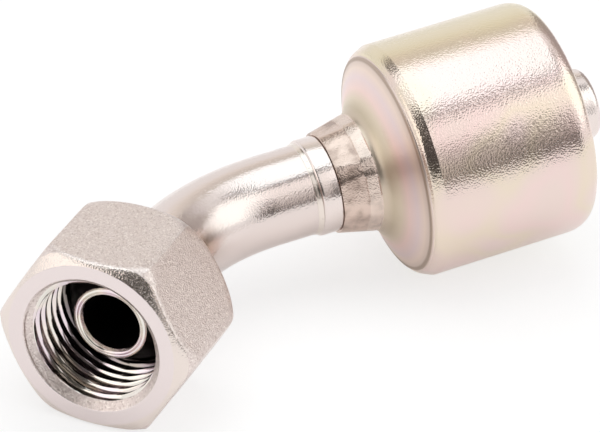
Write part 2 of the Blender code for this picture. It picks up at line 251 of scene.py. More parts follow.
def add(tree, kind, links=None, stops=(), **settings):
    """Add a node with its settings, the stops of its ramp, and its inputs linked or set.

    A node as an input's value means its first output. A stop is (position, hex colour or linear tone).
    Inputs 1 to 4 of a MapRange are the low and high end that it reads and the low and high end that it gives.
    """
    node = tree.nodes.new(kind)
    for name, value in settings.items():
        setattr(node, name, value)
    for key, value in (links or {}).items():
        if isinstance(value, bpy.types.Node):
            value = value.outputs[0]
        if isinstance(value, bpy.types.NodeSocket):
            tree.links.new(value, node.inputs[key])
        else:
            node.inputs[key].default_value = value
    if stops:
        elements = node.color_ramp.elements
        while len(elements) < len(stops):
            elements.new(0.5)
        for element, (position, colour) in zip(elements, stops):
            element.position = position
            element.color = linear(colour) if isinstance(colour, str) else (*colour, 1.0)
    return node


def in_scene(name, data):
    """A new object of that name and data, in the scene."""
    thing = bpy.data.objects.new(name, data)
    bpy.context.scene.collection.objects.link(thing)
    return thing


def lathe(name, profile, steps):
    """Turn a closed profile about the x axis with a Screw modifier."""
    area = sum(x0 * r1 - x1 * r0 for (x0, r0), (x1, r1) in zip(profile, profile[1:] + profile[:1]))
    if area < 0:
        profile = profile[::-1]
    mesh = bpy.data.meshes.new(name)
    corners = [(along, radius, 0.0) for along, radius in profile]
    mesh.from_pydata(corners, [(i, (i + 1) % len(corners)) for i in range(len(corners))], [])
    piece = in_scene(name, mesh)
    screw = piece.modifiers.new("turn", "SCREW")
    screw.axis = "X"
    screw.steps = steps
    screw.render_steps = steps
    screw.use_merge_vertices = True
    screw.merge_threshold = 0.00001
    return piece


def forming_tree(name, sizes):
    """A Geometry Nodes tree with a mesh, a material and the named sizes as its inputs."""
    tree = bpy.data.node_groups.new(name, "GeometryNodeTree")
    tree.interface.new_socket("Mesh", in_out="INPUT", socket_type="NodeSocketGeometry")
    tree.interface.new_socket("Finish", in_out="INPUT", socket_type="NodeSocketMaterial")
    for label, value in sizes.items():
        socket = tree.interface.new_socket(label, in_out="INPUT", socket_type="NodeSocketFloat")
        socket.default_value = value
    tree.interface.new_socket("Mesh", in_out="OUTPUT", socket_type="NodeSocketGeometry")
    return tree, tree.nodes.new("NodeGroupInput")


def close_tree(tree, start, mesh):
    """End the tree in Realize Instances and Set Material."""
    real = add(tree, "GeometryNodeRealizeInstances", {"Geometry": mesh})
    dressed = add(tree, "GeometryNodeSetMaterial", {"Geometry": real, "Material": start.outputs["Finish"]})
    add(tree, "NodeGroupOutput", {"Mesh": dressed})


def form(piece, tree, finish, sizes):
    """Put a forming tree on the piece, with its sizes set by their sockets' identifiers."""
    modifier = piece.modifiers.new(tree.name, "NODES")
    modifier.node_group = tree
    sockets = {item.name: item.identifier for item in tree.interface.items_tree if item.in_out == "INPUT"}
    modifier[sockets["Finish"]] = finish
    for label, value in sizes.items():
        modifier[sockets[label]] = float(value)


def settle(piece):
    """Make the evaluated shape the piece's own mesh, and remove its modifiers."""
    bpy.context.view_layer.update()
    shape = piece.evaluated_get(bpy.context.evaluated_depsgraph_get())
    mesh = bpy.data.meshes.new_from_object(shape)
    piece.modifiers.clear()
    piece.data = mesh


def keep_own(piece):
    """Keep each point's place before bending and placing, in millimetres, as the attribute own."""
    mesh = piece.data
    places = mesh.attributes.new("own", "FLOAT_VECTOR", "POINT")
    for i, vertex in enumerate(mesh.vertices):
        places.data[i].vector = vertex.co


def place(piece, matrix, finishes, sharp, choose=None):
    """Move the mesh to metres in the row frame and shade it, with edges above sharp degrees kept crisp.

    Each face takes the finish whose index choose gives for its place along the axis and its radius.
    """
    mesh = piece.data
    mesh.transform(matrix @ Matrix.Diagonal((MM, MM, MM, 1.0)))
    mesh.materials.clear()
    for finish in finishes:
        mesh.materials.append(finish)
    if choose:
        own = mesh.attributes["own"].data
        for face in mesh.polygons:
            places = [own[i].vector for i in face.vertices]
            along = sum(p.x for p in places) / len(places)
            radius = sum(math.hypot(p.y, p.z) for p in places) / len(places)
            face.material_index = choose(along, radius)
    mesh.shade_smooth()
    mesh.set_sharp_from_angle(angle=math.radians(sharp))


# Forming operations
def read_round(tree):
    """Each point's place, its part square to the x axis, and its radius and angle about that axis."""
    where = add(tree, "GeometryNodeInputPosition")
    xyz = add(tree, "ShaderNodeSeparateXYZ", {"Vector": where})
    across = add(tree, "ShaderNodeCombineXYZ", {"Y": xyz.outputs["Y"], "Z": xyz.outputs["Z"]})
    radius = add(tree, "ShaderNodeVectorMath", {0: across}, operation="LENGTH").outputs["Value"]
    angle = add(tree, "ShaderNodeMath", {0: xyz.outputs["Z"], 1: xyz.outputs["Y"]}, operation="ARCTAN2")
    return xyz, across, radius, angle


def move_round(tree, start, xyz, across, radius, wanted, picked):
    """Move the picked points that lie From to To along the axis to the wanted radius, and close the tree."""
    ratio = add(tree, "ShaderNodeMath", {0: wanted, 1: radius}, operation="DIVIDE")
    new_across = add(tree, "ShaderNodeVectorMath", {0: across, "Scale": ratio}, operation="SCALE")
    axial = add(tree, "ShaderNodeCombineXYZ", {"X": xyz.outputs["X"]})
    new_place = add(tree, "ShaderNodeVectorMath", {0: new_across, 1: axial}, operation="ADD")
    after = add(tree, "FunctionNodeCompare", {0: xyz.outputs["X"], 1: start.outputs["From"]},
                operation="GREATER_EQUAL")
    before = add(tree, "FunctionNodeCompare", {0: xyz.outputs["X"], 1: start.outputs["To"]},
                 operation="LESS_EQUAL")
    span = add(tree, "FunctionNodeBooleanMath", {0: after, 1: before}, operation="AND")
    chosen = add(tree, "FunctionNodeBooleanMath", {0: span, 1: picked}, operation="AND")
    moved = add(tree, "GeometryNodeSetPosition",
                {"Geometry": start.outputs["Mesh"], "Selection": chosen, "Position": new_place})
    close_tree(tree, start, moved)


def press_flats():
    """Flats pressed or milled round the axis: the radius is limited to a plane for each flat."""
    tree, start = forming_tree("press_flats", {
        "Flats": 6, "Flat radius": 10, "Growth": 0, "From": 0, "To": 10, "Turn": 0, "Softness": 0.2,
        "Inner": 0})
    xyz, across, radius, angle = read_round(tree)
    turned = add(tree, "ShaderNodeMath", {0: angle, 1: start.outputs["Turn"]}, operation="SUBTRACT")
    half = add(tree, "ShaderNodeMath", {0: math.pi, 1: start.outputs["Flats"]}, operation="DIVIDE")
    minus = add(tree, "ShaderNodeMath", {0: half, 1: -1.0}, operation="MULTIPLY")
    within = add(tree, "ShaderNodeMath", {0: turned, 1: half, 2: minus}, operation="WRAP")
    cosine = add(tree, "ShaderNodeMath", {0: within}, operation="COSINE")
    travel = add(tree, "ShaderNodeMath", {0: xyz.outputs["X"], 1: start.outputs["From"]},
                 operation="SUBTRACT")
    flat = add(tree, "ShaderNodeMath",
               {0: travel, 1: start.outputs["Growth"], 2: start.outputs["Flat radius"]},
               operation="MULTIPLY_ADD")
    limit = add(tree, "ShaderNodeMath", {0: flat, 1: cosine}, operation="DIVIDE")
    pressed = add(tree, "ShaderNodeMath", {0: radius, 1: limit, 2: start.outputs["Softness"]},
                  operation="SMOOTH_MIN")
    outside = add(tree, "FunctionNodeCompare", {0: radius, 1: start.outputs["Inner"]},
                  operation="GREATER_THAN")
    move_round(tree, start, xyz, across, radius, pressed, outside)
    return tree


def cut_thread():
    """A helical groove cut outwards from the bore: its depth follows along / pitch less the turn."""
    tree, start = forming_tree("cut_thread", {
        "Pitch": 1.8, "Lead": 0, "Crest radius": 9, "Depth": 1, "From": 0, "To": 10, "Outer": 11})
    xyz, across, radius, angle = read_round(tree)
    round_turn = add(tree, "ShaderNodeMath", {0: angle, 1: math.tau}, operation="DIVIDE")
    turns = add(tree, "ShaderNodeMath", {0: round_turn, 1: start.outputs["Lead"]}, operation="ADD")
    pitches = add(tree, "ShaderNodeMath", {0: xyz.outputs["X"], 1: start.outputs["Pitch"]},
                  operation="DIVIDE")
    phase = add(tree, "ShaderNodeMath", {0: pitches, 1: turns}, operation="SUBTRACT")
    wave = add(tree, "ShaderNodeMath", {0: phase, 1: 0.5}, operation="PINGPONG")
    groove = add(tree, "ShaderNodeMapRange", {"Value": wave, 1: FLANK[0], 2: FLANK[1], 3: 0.0, 4: 1.0},
                 interpolation_type="SMOOTHSTEP")
    depth = add(tree, "ShaderNodeMath",
                {0: groove, 1: start.outputs["Depth"], 2: start.outputs["Crest radius"]},
                operation="MULTIPLY_ADD")
    deeper = add(tree, "ShaderNodeMath", {0: depth, 1: radius}, operation="MAXIMUM")
    bore = add(tree, "FunctionNodeCompare", {0: radius, 1: start.outputs["Outer"]}, operation="LESS_THAN")
    move_round(tree, start, xyz, across, radius, deeper, bore)
    return tree


def bend_tube():
    """Bend the straight blank: what lies before x = 0 goes round the bend and then straight on."""
    tree, start = forming_tree("bend_tube", {"Bend radius": 26.6, "Bend angle": 0.785})
    bend_radius = start.outputs["Bend radius"]
    where = add(tree, "GeometryNodeInputPosition")
    xyz = add(tree, "ShaderNodeSeparateXYZ", {"Vector": where})
    travel = add(tree, "ShaderNodeMath", {0: xyz.outputs["X"], 1: -1.0}, operation="MULTIPLY")
    whole = add(tree, "ShaderNodeMath", {0: travel, 1: bend_radius}, operation="DIVIDE")
    ahead = add(tree, "ShaderNodeMath", {0: whole, 1: 0.0}, operation="MAXIMUM")
    angle = add(tree, "ShaderNodeMath", {0: ahead, 1: start.outputs["Bend angle"]}, operation="MINIMUM")
    arc = add(tree, "ShaderNodeMath", {0: angle, 1: bend_radius}, operation="MULTIPLY")
    beyond = add(tree, "ShaderNodeMath", {0: travel, 1: arc}, operation="SUBTRACT")
    sine = add(tree, "ShaderNodeMath", {0: angle}, operation="SINE")
    cosine = add(tree, "ShaderNodeMath", {0: angle}, operation="COSINE")
    reach = add(tree, "ShaderNodeMath", {0: xyz.outputs["Y"], 1: bend_radius}, operation="ADD")
    x_arc = add(tree, "ShaderNodeMath", {0: reach, 1: sine}, operation="MULTIPLY")
    x_run = add(tree, "ShaderNodeMath", {0: beyond, 1: cosine, 2: x_arc}, operation="MULTIPLY_ADD")
    x_new = add(tree, "ShaderNodeMath", {0: x_run, 1: -1.0}, operation="MULTIPLY")
    y_arc = add(tree, "ShaderNodeMath", {0: reach, 1: cosine}, operation="MULTIPLY")
    y_run = add(tree, "ShaderNodeMath", {0: beyond, 1: sine}, operation="MULTIPLY")
    y_down = add(tree, "ShaderNodeMath", {0: y_arc, 1: y_run}, operation="SUBTRACT")
    y_new = add(tree, "ShaderNodeMath", {0: y_down, 1: bend_radius}, operation="SUBTRACT")
    new_place = add(tree, "ShaderNodeCombineXYZ", {"X": x_new, "Y": y_new, "Z": xyz.outputs["Z"]})
    moved = add(tree, "GeometryNodeSetPosition", {"Geometry": start.outputs["Mesh"], "Position": new_place})
    close_tree(tree, start, moved)
    return tree


# Finishes
def new_finish(name, colour, roughness):
    """A metal finish with its own tree, its colour and roughness set on the shader's sockets."""
    made = bpy.data.materials.new(name)
    made.use_nodes = True
    tree = made.node_tree
    shader = tree.nodes["Principled BSDF"]
    shader.inputs["Base Color"].default_value = linear(colour)
    shader.inputs["Metallic"].default_value = 1.0
    shader.inputs["Roughness"].default_value = roughness
    own = add(tree, "ShaderNodeAttribute", attribute_name="own", attribute_type="GEOMETRY")
    return made, tree, shader, own.outputs["Vector"]


def grained(tree, shader, own, size, depth, **more):
    """Fine grain of the metal, size and depth in millimetres, which breaks reflections up into speckle.

    The real grain is finer than a pixel, so it is drawn 0.2 to 0.25 mm wide, as coarse as it needs to show.
    """
    grain = add(tree, "ShaderNodeTexNoise", {"Vector": own, "Scale": 1.0 / size, "Detail": 0.0})
    relief = add(tree, "ShaderNodeBump", {"Height": grain, "Distance": depth * MM, "Strength": 1.0, **more})
    tree.links.new(relief.outputs["Normal"], shader.inputs["Normal"])


def blasted_steel():
    """Fine blasted zinc-plated steel: matt, with light and dark grains that sparkle.

    The real grains are finer than a pixel. They are drawn as coarse as needed to show, 4.4 to a millimetre.
    """
    made, tree, shader, own = new_finish("blasted_zinc_plated_steel", "DECFC9", 0.34)
    cells = add(tree, "ShaderNodeTexVoronoi", {"Vector": own, "Scale": 4.4})
    tint = add(tree, "ShaderNodeSeparateColor", {"Color": cells.outputs["Color"]})
    tone = add(tree, "ShaderNodeValToRGB", {"Fac": tint}, [
        (0.0, "C9BAB4"), (0.22, "DCCEC9"), (0.78, "E1D4CF"), (1.0, "F0E5DF")])
    tree.links.new(tone.outputs["Color"], shader.inputs["Base Color"])
    grained(tree, shader, own, 0.2, 0.075)
    return made


def turned_face():
    """Turned and plated end face of the nut: pale and smooth to the eye."""
    made, tree, shader, own = new_finish("turned_nut_face", "E5D9D7", 0.17)
    grained(tree, shader, own, 0.25, 0.03)
    return made


def turned_chamfer():
    """Turned chamfer of the nut, coarser than its face: dark reflections break up into bright specks."""
    made, tree, shader, own = new_finish("turned_nut_chamfer", "E6DAD3", 0.22)
    grained(tree, shader, own, 0.22, 0.055)
    return made


def polished_thread():
    """Thread and nose tip: bright turned crests near the nut's mouth, darkened to brown-black further inside
    the nut as painted shade.
    """
    made, tree, shader, own = new_finish("polished_thread", "E9DCD8", 0.13)
    tint = add(tree, "ShaderNodeTexNoise", {"Vector": own, "Scale": 1 / 5.0, "Detail": 0.0})
    bright = add(tree, "ShaderNodeValToRGB", {"Fac": tint}, [
        (0.38, "E8DADF"), (0.5, "EFE5DD"), (0.62, "E9E4DC")])
    xyz = add(tree, "ShaderNodeSeparateXYZ", {"Vector": own})
    # Painted shade: from 10 to 12.3 mm into the nut the colour goes over to brown-black.
    painted_shade_depth = add(tree, "ShaderNodeMapRange", {"Value": xyz.outputs["X"], 1: 10.0, 2: 12.3, 3: 0.0, 4: 1.0})
    tone = add(tree, "ShaderNodeMix", {"Factor": painted_shade_depth, "A": bright.outputs["Color"], "B": linear("4A403E")},
               data_type="RGBA")
    tree.links.new(tone.outputs["Result"], shader.inputs["Base Color"])
    return made


def dark_bore():
    """Bore, cone and flange of the tube in a nearly black colour: painted shade for the tube's bore and the
    inside of the nut.
    """
    return new_finish("painted_shade_bore", "2C2828", 0.5)[0]


def plated_tube():
    """Drawn steel tube, bright zinc plated: satin, with a grain that turns dark reflections to speckle."""
    made, tree, shader, own = new_finish("bright_zinc_plated_tube", "E0D3CE", 0.17)
    grained(tree, shader, own, 0.25, 0.024)
    return made


def turned_steel():
    """Turned and plated steel: bright, with a fine grain."""
    made, tree, shader, own = new_finish("turned_zinc_plated_steel", "E6DAD5", 0.18)
    grained(tree, shader, own, 0.25, 0.02)
    return made


def pressed_neck():
    """The shell's neck where the dies pressed it: duller and browner, uneven, and lighter on the rear pads
    behind the die step, a painted highlight.
    """
    made, tree, shader, own = new_finish("pressed_neck", "D6C5BB", 0.24)
    wear = add(tree, "ShaderNodeTexNoise", {"Vector": own, "Scale": 1 / 2.2, "Detail": 2.0})
    dull = add(tree, "ShaderNodeValToRGB", {"Fac": wear}, [
        (0.34, "AF9B90"), (0.46, "CBB6AA"), (0.60, "D8C3B7")])
    xyz = add(tree, "ShaderNodeSeparateXYZ", {"Vector": own})
    # Painted highlight: behind the die step the colour is mixed part way towards a pale tone.
    painted_pad_highlight = add(tree, "ShaderNodeMapRange",
              {"Value": xyz.outputs["X"], 1: NECK_STEP - 0.05, 2: NECK_STEP + 0.1, 3: 0.0, 4: 0.45})
    tone = add(tree, "ShaderNodeMix", {"Factor": painted_pad_highlight, "A": dull.outputs["Color"], "B": linear("E9DACF")},
               data_type="RGBA")
    tree.links.new(tone.outputs["Result"], shader.inputs["Base Color"])
    uneven = add(tree, "ShaderNodeBump", {"Height": wear, "Distance": 0.09 * MM, "Strength": 1.0})
    grained(tree, shader, own, 0.25, 0.03, Normal=uneven)
    return made


def passivated_shell():
    """Zinc plate with a thin clear passivate: pale pink and yellow clouds, and rings on the face that are
    partly its tint and partly painted reflection bands and shade.

    The yellow is strongest along the top and the underside, and fades towards both sides; it is partly the
    passivate's tint and partly a painted reflection of the warm back of the studio.
    """
    made, tree, shader, own = new_finish("passivated_zinc_plate", "E4D2CA", 0.19)
    clouds = add(tree, "ShaderNodeTexNoise", {"Vector": own, "Scale": 1 / 12.0, "Detail": 1.0})
    cloudy = add(tree, "ShaderNodeValToRGB", {"Fac": clouds}, [
        (0.34, "E5D2CC"), (0.44, "E8D1CD"), (0.52, "E6D3CB"), (0.60, "E5D6C5"), (0.70, "E6D3CE")])
    xyz = add(tree, "ShaderNodeSeparateXYZ", {"Vector": own})
    across = add(tree, "ShaderNodeCombineXYZ", {"Y": xyz.outputs["Y"], "Z": xyz.outputs["Z"]})
    radius = add(tree, "ShaderNodeVectorMath", {0: across}, operation="LENGTH")
    # Rings by radius on the face: partly the passivate's tint and partly painted reflection bands, olive and
    # darker towards the neck root as painted shade, with a darker ring just inside the ridge.
    reach = add(tree, "ShaderNodeMapRange",
                {"Value": radius.outputs["Value"], 1: 8.0, 2: RIDGE, 3: 0.0, 4: 1.0})
    rings = add(tree, "ShaderNodeValToRGB", {"Fac": reach}, [
        (0.0, "D5C3B8"), (0.22, "C9BBA5"), (0.34, "DCCDB9"), (0.50, "EDD3CC"), (0.68, "E6D3D2"),
        (0.82, "EAD7CB"), (0.91, "D8C6BB"), (0.94, "AE9B8D"), (0.985, "B5A294"), (1.0, "E4D2CA")])
    face = add(tree, "ShaderNodeMath", {0: xyz.outputs["X"], 1: RIDGE_X}, operation="LESS_THAN")
    # Painted reflection, partly the passivate's tint: yellow along the top and the underside, where the shell
    # mirrors the warm back of the studio, fading towards both sides.
    breadth = add(tree, "ShaderNodeMapRange",
                  {"Value": xyz.outputs["Y"], 1: -SHELL, 2: SHELL, 3: 0.0, 4: 1.0})
    tint_and_painted_reflection = add(tree, "ShaderNodeValToRGB", {"Fac": breadth}, [
        (0.3, "3C3C3C"), (0.46, "F0F0F0"), (0.6, "F0F0F0"), (0.82, "5A5A5A"), (1.0, "3C3C3C")])
    body = add(tree, "ShaderNodeMix",
               {"Factor": tint_and_painted_reflection.outputs["Color"], "A": cloudy.outputs["Color"], "B": linear("E0D4B6")},
               data_type="RGBA")
    tone = add(tree, "ShaderNodeMix",
               {"Factor": face, "A": body.outputs["Result"], "B": rings.outputs["Color"]}, data_type="RGBA")
    tree.links.new(tone.outputs["Result"], shader.inputs["Base Color"])
    satin = add(tree, "ShaderNodeMapRange", {"Value": face, 3: 0.18, 4: 0.36})
    tree.links.new(satin.outputs["Result"], shader.inputs["Roughness"])
    relief = add(tree, "ShaderNodeMapRange", {"Value": face, 3: 1.0, 4: 0.3})
    grained(tree, shader, own, 0.25, 0.034, Strength=relief)
    return made


def braze():
    """Brazing metal under the plating: bright and lumpy, with a few brown specks."""
    made, tree, shader, own = new_finish("plated_braze", "E6DBD2", 0.2)
    lumps = add(tree, "ShaderNodeTexNoise", {"Vector": own, "Scale": 1 / 0.7, "Detail": 2.0})
    tone = add(tree, "ShaderNodeValToRGB", {"Fac": lumps}, [(0.24, "6E5B4C"), (0.33, "E6DBD2")])
    tree.links.new(tone.outputs["Color"], shader.inputs["Base Color"])
    relief = add(tree, "ShaderNodeBump", {"Height": lumps, "Distance": 0.025 * MM, "Strength": 1.0})
    tree.links.new(relief.outputs["Normal"], shader.inputs["Normal"])
    return made


# Pieces
def threaded_nut(finishes, flats, thread):
    """Hexagon nut: turned blank with chamfer and rounded rear, threaded bore, relief and lip."""
    finish = finishes[0]
    chamfer_end = (NUT_CORNER_BREAK - NUT_FACE) * math.tan(NUT_CHAMFER)
    corner_end = chamfer_end + NUT_CORNER_RUN
    entry_end = (ENTRY_RADIUS - THREAD_CREST) / ENTRY_SLOPE
    corners = [(0.0, NUT_FACE, 0.12), (chamfer_end, NUT_CORNER_BREAK, 0.12), (corner_end, BLANK, 0.3)]
    corners += falling_quarter((NUT_LENGTH - NUT_REAR_LENGTH, BLANK - NUT_REAR_DROP),
                               (NUT_REAR_LENGTH, NUT_REAR_DROP), 18)
    corners += [(NUT_LENGTH, NUT_LIP, 0.3), (NUT_SEAT, NUT_LIP, 0.2), (NUT_SEAT, RELIEF, 0.4)]
    corners += [(THREAD_END, RELIEF, 0.25)]
    rings = int(THREAD_END / (THREAD_PITCH / RINGS_PER_PITCH))
    step = THREAD_END / rings
    for i in range(rings, 0, -1):
        along = i * step
        corners.append((along, max(THREAD_CREST, ENTRY_RADIUS - ENTRY_SLOPE * along), 0.0))
    corners.append((0.0, ENTRY_RADIUS, 0.12))
    profile = filled(rounded(corners), longest=0.2, low=0.0, high=corner_end)
    nut = lathe("threaded_nut", profile, NUT_STEPS)
    form(nut, thread, finish, {
        "Pitch": THREAD_PITCH, "Lead": THREAD_LEAD, "Crest radius": THREAD_CREST, "Depth": THREAD_DEPTH,
        "From": THREAD_START, "To": THREAD_END - 0.01, "Outer": ENTRY_RADIUS + NEAR})
    form(nut, flats, finish, {
        "Flats": 6, "Flat radius": HEX_FLAT, "Growth": 0, "From": -1, "To": NUT_LENGTH + 1,
        "Turn": math.pi / 6, "Softness": HEX_SOFTNESS, "Inner": RELIEF + 0.5})
    settle(nut)
    keep_own(nut)

    def choose(along, radius):
        """0 is blasted steel, 1 the turned face, 2 the thread and relief, and 3 the chamfer."""
        if NEAR < along < entry_end and THREAD_CREST + NEAR < radius < ENTRY_RADIUS:
            return 0
        if radius < RELIEF + 0.2 and NEAR < along < NUT_LENGTH - 0.2:
            return 2
        if NEAR < along < chamfer_end and radius > NUT_FACE - 0.3 + along / math.tan(NUT_CHAMFER):
            return 3
        return 1 if along < NEAR else 0

    place(nut, nut_frame(), finishes, sharp=35, choose=choose)
    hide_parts("swivel_nut")
    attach(nut, "nut")


def bent_tube(finishes, bend):
    """Turned blank with cone nose, flange and spigot, bent by 45 degrees."""
    finish = finishes[0]
    tip = NOSE_RECESS - FACE_TRAVEL
    cone_end = CONE_BACK - FACE_TRAVEL
    flange_end = FLANGE_BACK - FACE_TRAVEL
    shoulder = STEM_RUN - BRAZE_GAP
    spigot_end = shoulder + SPIGOT_LENGTH
    corners = [(tip + back, TUBE_BORE + out, soft) for back, out, soft in NOSE_RINGS]
    corners += [(tip, NOSE_TIP, NOSE_ROUND), (cone_end, FLANGE, 0.3)]
    corners += [(flange_end, FLANGE, 0.3), (flange_end, TUBE, 0.4), (shoulder, TUBE, 0.1)]
    corners += [(shoulder, SPIGOT, 0.0), (spigot_end, SPIGOT, 0.0), (spigot_end, TUBE_BORE, 0.0)]
    corners += [(tip + MOUTH_CHAMFER, TUBE_BORE, 0.15)]
    profile = filled(rounded(corners), longest=0.5, low=tip + 8, high=1.0)
    tube = lathe("bent_tube", profile, TUBE_STEPS)
    settle(tube)
    keep_own(tube)
    form(tube, bend, finish, {"Bend radius": BEND_RADIUS, "Bend angle": BEND_ANGLE})
    settle(tube)

    bore_wall = TUBE_BORE + 0.03
    nose_rim = NOSE_TIP + 0.15

    def choose(along, radius):
        """0 is plated tube, 1 the bore, cone and flange painted dark as shade, and 2 the nose's bright tip.
        """
        if along < tip + NOSE_BRIGHT and bore_wall < radius < nose_rim:
            return 2
        return 1 if radius < bore_wall or along < flange_end - 0.1 else 0

    place(tube, fitting_frame(), finishes, sharp=30, choose=choose)
    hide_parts("elbow_tube")
    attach(tube, "fitting")


def barb_corners():
    """Saw-tooth barbs of the tail, from the land to the tip."""
    last = TAIL_END - TIP_ROUND - BARB_CLEAR
    count = int((last - CAVITY - LAND_RAMP) / BARB_PITCH)
    corners = []
    for i in range(count):
        foot = last - (count - i) * BARB_PITCH
        crest = foot + BARB_RAMP
        corners += [(foot, TAIL, 0.1), (crest, TAIL + BARB_HEIGHT, 0.12)]
        corners += [(crest + BARB_CREST, TAIL + BARB_HEIGHT, 0.3)]
    return corners


def turned_stem(finish):
    """Collar with the brazing socket, groove and land under the neck, barbed tail."""
    groove_end = COLLAR_END + GROOVE_RUN
    socket_end = STEM_RUN + SPIGOT_LENGTH
    corners = [(STEM_RUN, SOCKET, 0.1), (STEM_RUN, COLLAR, 0.5), (COLLAR_END, COLLAR, 0.08)]
    corners += [(COLLAR_END, GROOVE, 0.1), (groove_end, GROOVE, 0.1), (groove_end + GROOVE_RAMP, LAND, 0.1)]
    corners += [(CAVITY, LAND, 0.1), (CAVITY + LAND_RAMP, TAIL, 0.2)] + barb_corners()
    corners += falling_quarter((TAIL_END - TIP_ROUND, TAIL - TIP_ROUND), (TIP_ROUND, TIP_ROUND), 8)
    corners += [(TAIL_END, STEM_BORE, 0.25), (socket_end, STEM_BORE, 0.0), (socket_end, SOCKET, 0.0)]
    stem = lathe("turned_stem", rounded(corners), STEM_STEPS)
    settle(stem)
    keep_own(stem)
    place(stem, fitting_frame(), [finish], sharp=30)
    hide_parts("hose_stem")
    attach(stem, "fitting")


def tooth_corners():
    """Gripping teeth inside the shell, from the mouth to the blind end."""
    first = CAVITY + TOOTH_START
    count = int((SHELL_END - MOUTH_BREAK - first) / TOOTH_PITCH)
    feet = [first + i * TOOTH_PITCH for i in range(count - 1, -1, -1)]
    return [(foot + behind, radius, soft) for foot in feet for behind, radius, soft in TOOTH]


def fillet_corners(lip, root):
    """The neck's lip and the smooth curve from its tapering run into the shell's dished face."""
    face_x = NECK_END + (FACE_START - NECK_ROOT) / math.tan(FACE_SLOPE)
    corners = [(NECK_START - NECK_OVERHANG, lip, 0.1)]
    steps = 12
    for k in range(steps + 1):
        t = k / steps
        first, middle, last = (1 - t) ** 2, 2 * t * (1 - t), t ** 2
        along = first * (NECK_END - FILLET_RUN) + middle * NECK_END + last * face_x
        corners.append((along, (first + middle) * root + last * FACE_START, 0.0))
    return corners


def crimped_shell(finishes, flats):
    """Shell with the die-pressed neck, dished face with a thin ridge, bevelled shoulder and cylinder."""
    finish = finishes[0]
    widest = 1 / math.cos(math.pi / DIES)
    corners = fillet_corners(NECK_LIP * widest - DIE_BITE, NECK_ROOT * widest - DIE_BITE)
    corners += [(RIDGE_X - before, RIDGE - inside, soft) for before, inside, soft in RIDGE_FRONT]
    corners += [(RIDGE_X, RIDGE, 0.14)]
    corners += [(SHOULDER_END - SHOULDER_RUN, SHELL - SHOULDER_RUN * math.tan(SHOULDER_SLOPE), 0.5)]
    corners += [(SHOULDER_END, SHELL, 0.06)]
    corners += falling_quarter((SHELL_END - REAR_ROUND_RUN, SHELL - REAR_ROUND_DROP),
                               (REAR_ROUND_RUN, REAR_ROUND_DROP), 18)
    corners += [(SHELL_END, TOOTH_ROOT + MOUTH_BREAK, 0.1), (SHELL_END - MOUTH_BREAK, TOOTH_ROOT, 0.1)]
    corners += tooth_corners()
    corners += [(CAVITY + CAVITY_BEVEL, TOOTH_ROOT, 0.3), (CAVITY, TOOTH_ROOT - CAVITY_BEVEL, 0.3)]
    corners += [(CAVITY, LAND_BORE, 0.1)]
    corners += [(STAKE_END + GROOVE_RAMP, LAND_BORE, 0.0), (STAKE_END, NECK_BORE, 0.0)]
    corners += [(NECK_START - NECK_OVERHANG, NECK_BORE, 0.08)]
    clear_of_lip = NECK_START - 0.3
    profile = filled(rounded(corners), longest=0.15, low=clear_of_lip, high=NECK_END)
    shell = lathe("crimped_shell", profile, SHELL_STEPS)
    growth = (NECK_ROOT - NECK_LIP) / (NECK_END - NECK_START)
    step_radius = NECK_LIP + (NECK_STEP - NECK_START) * growth + DIE_STEP
    bites = [(NECK_LIP, clear_of_lip, NECK_STEP), (step_radius, NECK_STEP + 0.0001, PRESSED_END)]
    for flat_radius, low, high in bites:
        form(shell, flats, finish, {
            "Flats": DIES, "Flat radius": flat_radius, "Growth": growth, "From": low, "To": high,
            "Turn": DIE_TURN + math.pi / DIES, "Softness": DIE_SOFTNESS, "Inner": LAND_BORE + 0.15})
    settle(shell)
    keep_own(shell)

    def choose(along, radius):
        """0 is passivated plate, and 1 the pressed neck."""
        return 1 if along < PRESSED_END + NEAR and radius > LAND_BORE else 0

    place(shell, fitting_frame(), finishes, sharp=32, choose=choose)
    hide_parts("crimp_shell")
    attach(shell, "fitting")


def braze_bead(finish):
    """Small fillet of braze that closes the joint between the tube and the collar."""
    corners = [(STEM_RUN + behind, TUBE + outside, soft) for behind, outside, soft in BEAD]
    bead = lathe("braze_bead", rounded(corners), STEM_STEPS)
    settle(bead)
    keep_own(bead)
    place(bead, fitting_frame(), [finish], sharp=40)
    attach(bead, "fitting")


# Studio
def panel(name, corners, levels):
    """A flag or card of the studio, seen only in reflections; levels are (height in metres, tone) stops."""
    mesh = bpy.data.meshes.new(name)
    mesh.from_pydata(corners, [], [tuple(range(i, i + 4)) for i in range(0, len(corners), 4)])
    card = in_scene(name, mesh)
    paper = bpy.data.materials.new(name)
    paper.use_nodes = True
    tree = paper.node_tree
    tree.nodes.clear()
    glow = add(tree, "ShaderNodeEmission", {"Color": (*levels[0][1], 1.0), "Strength": 1.0})
    if len(levels) > 1:
        where = add(tree, "ShaderNodeTexCoord")
        xyz = add(tree, "ShaderNodeSeparateXYZ", {"Vector": where.outputs["Object"]})
        low, high = levels[0][0], levels[-1][0]
        climb = add(tree, "ShaderNodeMapRange", {"Value": xyz.outputs["Z"], 1: low, 2: high, 3: 0.0, 4: 1.0})
        shade = add(tree, "ShaderNodeValToRGB", {"Fac": climb},
                    [((height - low) / (high - low), tone) for height, tone in levels])
        tree.links.new(shade.outputs["Color"], glow.inputs["Color"])
    add(tree, "ShaderNodeOutputMaterial", {"Surface": glow})
    mesh.materials.append(paper)
    card.visible_camera = False
    card.visible_diffuse = False
    card.visible_shadow = False
    card.visible_transmission = False


